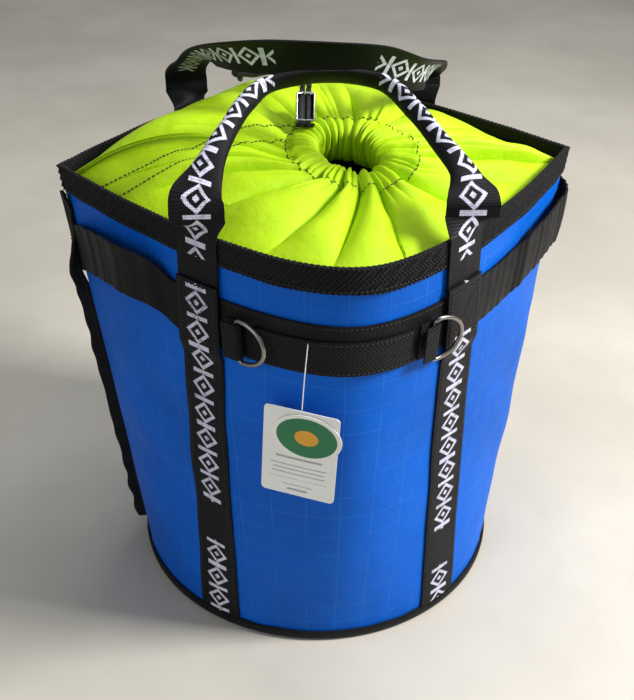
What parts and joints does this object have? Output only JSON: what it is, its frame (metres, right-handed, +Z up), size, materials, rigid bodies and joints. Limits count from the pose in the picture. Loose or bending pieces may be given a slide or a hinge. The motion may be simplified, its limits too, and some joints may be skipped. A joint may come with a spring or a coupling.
{
  "type": "rope storage bag",
  "caption": "Round-based fabric rope bag with webbing straps, two carry handles, gear loops, D-rings and a drawcord collar with a cord lock.",
  "frame": {"origin": "centre of the underside of the base", "axes": "+Z up through the mouth, -Y is the front with the D-rings and the tag, +X to the right"},
  "size_m": [0.44, 0.4142, 0.4869],
  "materials": {
    "blue_ripstop": "coated ripstop",
    "black_webbing": "woven webbing with a pale motif",
    "herringbone_tape": "herringbone weave",
    "lime_fabric": "light coated nylon",
    "black_cord": "braided",
    "gunmetal": "dark nickel",
    "chrome_metal": "polished",
    "black_plastic": "satin",
    "white_card": "printed card",
    "green_card": "printed card"
  },
  "bodies": {
    "bag": {"band_overlay_tape": "herringbone_tape", "base_binding": "herringbone_tape", "base_panel": "blue_ripstop", "body_panel": "blue_ripstop", "collar": "lime_fabric", "cord_eyelet": "black_webbing", "d_ring_tab_left": "herringbone_tape", "d_ring_tab_right": "herringbone_tape", "drawcord": "black_cord", "drawcord_knot": "black_cord", "drawcord_tail_left": "black_cord", "drawcord_tail_right": "black_cord", "front_band": "black_webbing", "handle_tail_front_left": "black_webbing", "handle_tail_front_right": "black_webbing", "handle_tail_rear_left": "black_webbing", "handle_tail_rear_right": "black_webbing", "left_front_gear_loop": "black_webbing", "left_rear_gear_loop": "black_webbing", "rear_band": "black_webbing", "right_gear_loop": "black_webbing", "rim_binding": "herringbone_tape", "side_seam_binding": "herringbone_tape", "strap_front_left": "black_webbing", "strap_front_right": "black_webbing", "strap_rear_left": "black_webbing", "strap_rear_right": "black_webbing"},
    "front_handle": {"front_handle": "black_webbing"},
    "rear_handle": {"rear_handle": "black_webbing"},
    "d_ring_left": {"d_ring_left": "gunmetal"},
    "d_ring_right": {"d_ring_right": "gunmetal"},
    "cord_lock": {"cord_lock_body": "chrome_metal", "cord_lock_spring": "gunmetal"},
    "lock_jaw": {"cord_lock_jaw": "black_plastic"},
    "hang_tag": {"tag_card": "white_card", "tag_badge": "green_card", "tag_string": "white_card"}
  },
  "joints": [
    {"name": "front_handle_swing", "type": "hinge", "parent": "bag", "child": "front_handle", "pos_m": [-0.00775, -0.15255, 0.40025], "axis": [0.9989, -0.0469, 0], "range_deg": [0, 110]},
    {"name": "rear_handle_swing", "type": "hinge", "parent": "bag", "child": "rear_handle", "pos_m": [0.00275, 0.14455, 0.40025], "axis": [-0.9999, 0.0136, 0], "range_deg": [0, 125]},
    {"name": "d_ring_left_swing", "type": "hinge", "parent": "bag", "child": "d_ring_left", "pos_m": [-0.07974, -0.16466, 0.3135], "axis": [0.0424, 0.0133, -0.999], "range_deg": [0, 150]},
    {"name": "d_ring_right_swing", "type": "hinge", "parent": "bag", "child": "d_ring_right", "pos_m": [0.06135, -0.17838, 0.3135], "axis": [-0.0323, 0.0396, -0.9987], "range_deg": [0, 150]},
    {"name": "cord_lock_slide", "type": "slide", "parent": "bag", "child": "cord_lock", "axis": [0.0697, 0.5278, 0.8465], "range_m": [0, 0.004]},
    {"name": "lock_jaw_slide", "type": "slide", "parent": "cord_lock", "child": "lock_jaw", "axis": [0, 0.8486, -0.5291], "range_m": [0, 0.0025], "stiffness_N_per_m": 300, "springref_m": -0.002, "deforming": ["cord_lock_spring"]},
    {"name": "hang_tag_swing", "type": "hinge", "parent": "bag", "child": "hang_tag", "pos_m": [-0.03174, -0.19431, 0.3265], "axis": [0.9151, -0.4032, 0], "range_deg": [-110, 0]}
  ]
}
